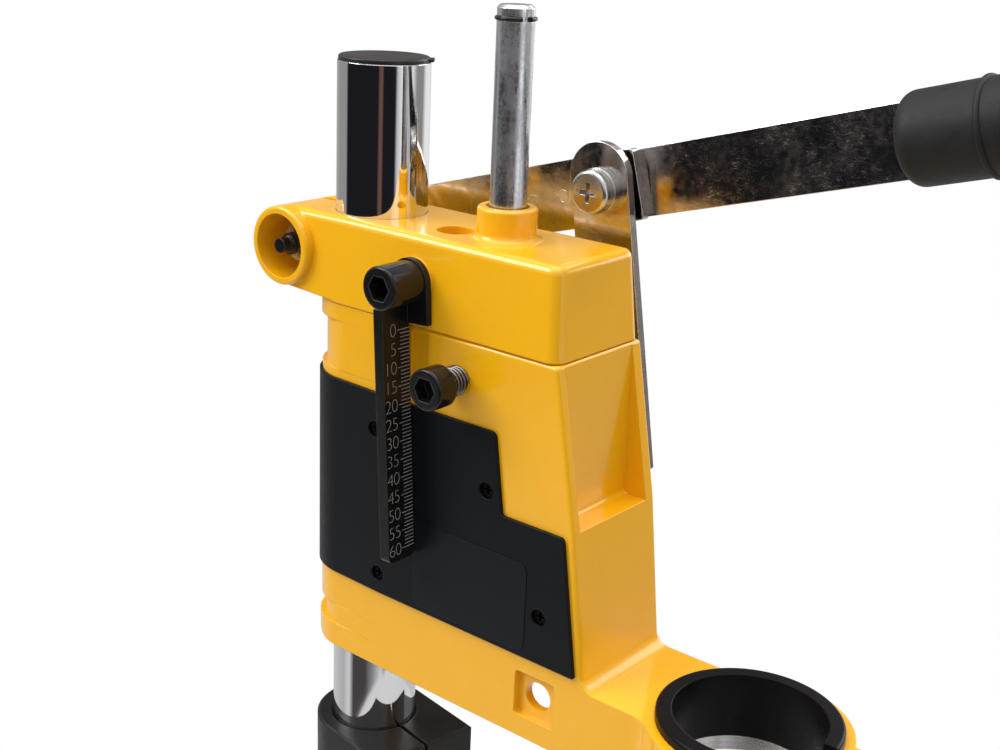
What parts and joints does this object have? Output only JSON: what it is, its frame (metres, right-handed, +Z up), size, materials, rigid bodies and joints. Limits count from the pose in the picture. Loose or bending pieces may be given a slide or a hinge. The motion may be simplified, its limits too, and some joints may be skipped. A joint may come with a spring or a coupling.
{
  "type": "bench drill stand",
  "caption": "Bench drill stand: a clamped head with a lever-fed carriage and neck collar on a round column, with depth scale and stop rod.",
  "frame": {"origin": "on the column's axis, at the underside of the base", "axes": "+Z up along the column, +X from the column towards the drill collar, -Y the side with the depth scale"},
  "size_m": [0.2661, 0.16, 0.4339],
  "materials": {
    "yellow_paint": "gloss",
    "base_paint": "gloss",
    "column_chrome": "mirror",
    "cap_plastic": "satin",
    "cover_plastic": "fine grain",
    "black_steel": "black oxide",
    "zinc_steel": "zinc plated",
    "spring_steel": "plain",
    "lever_steel": "polished",
    "grip_plastic": "matt",
    "insert_plastic": "satin",
    "scale_paint": "satin",
    "label_film": "satin"
  },
  "bodies": {
    "stand": {"base_plate": "base_paint", "column_foot": "yellow_paint", "foot_bolts": "zinc_steel", "foot_grub_screw": "black_steel"},
    "column": {"column_tube": "column_chrome", "column_cap": "cap_plastic"},
    "stop": {"stop_collar": "cap_plastic", "stop_collar_screw": "black_steel", "stop_collar_nut": "zinc_steel"},
    "bracket": {"bracket_casting": "yellow_paint", "clamp_bolt": "black_steel", "clamp_nut": "zinc_steel", "lever_bush": "zinc_steel", "lever_washer": "zinc_steel", "depth_scale": "scale_paint", "scale_screw": "black_steel", "upper_spring_pin": "zinc_steel", "return_spring": "spring_steel"},
    "carriage": {"carriage_casting": "yellow_paint", "side_cover": "cover_plastic", "cover_screws": "black_steel", "label_plate": "label_film", "collar_insert": "insert_plastic", "collar_screw": "black_steel", "collar_nut": "zinc_steel", "lock_spring": "spring_steel", "lock_screw": "black_steel", "lower_spring_pin": "zinc_steel"},
    "rod": {"depth_rod": "zinc_steel", "rod_snap_ring": "black_steel"},
    "lever": {"lever_arm": "lever_steel", "lever_bar": "lever_steel", "lever_rivets": "zinc_steel", "lever_grip": "grip_plastic", "link_screw": "zinc_steel", "link_nut": "zinc_steel"},
    "link": {"link_bar": "lever_steel", "link_pin": "zinc_steel", "link_washers": "zinc_steel"}
  },
  "joints": [
    {"name": "head_swing", "type": "hinge", "parent": "stand", "child": "column", "pos_m": [0, 0, 0.04], "axis": [0, 0, 1], "continuous": true},
    {"name": "head_height", "type": "slide", "parent": "column", "child": "bracket", "axis": [0, 0, 1], "range_m": [-0.09, 0.035]},
    {"name": "feed", "type": "slide", "parent": "bracket", "child": "carriage", "axis": [0, 0, -1], "range_m": [0, 0.06], "stiffness_N_per_m": 300, "springref_m": -0.12, "deforming": ["return_spring"]},
    {"name": "depth_set", "type": "slide", "parent": "carriage", "child": "rod", "axis": [0, 0, 1], "range_m": [0, 0.02]},
    {"name": "lever_turn", "type": "hinge", "parent": "bracket", "child": "lever", "pos_m": [-0.0213, 0.0293, 0.3547], "axis": [0, 1, 0], "range_deg": [0, 44.3]},
    {"name": "link_turn", "type": "hinge", "parent": "lever", "child": "link", "pos_m": [0.05507, 0.0253, 0.37679], "axis": [0, 1, 0], "range_deg": [-44.3, 0]},
    {"name": "stop_height", "type": "slide", "parent": "bracket", "child": "stop", "axis": [0, 0, -1], "range_m": [0, 0.0361]}
  ],
  "couplings": [
    {"joint": "lever_turn", "follows": "feed", "rad_per_m": 12.88},
    {"joint": "link_turn", "follows": "feed", "rad_per_m": -12.88},
    {"joint": "stop_height", "follows": "feed", "ratio": 0.6}
  ]
}
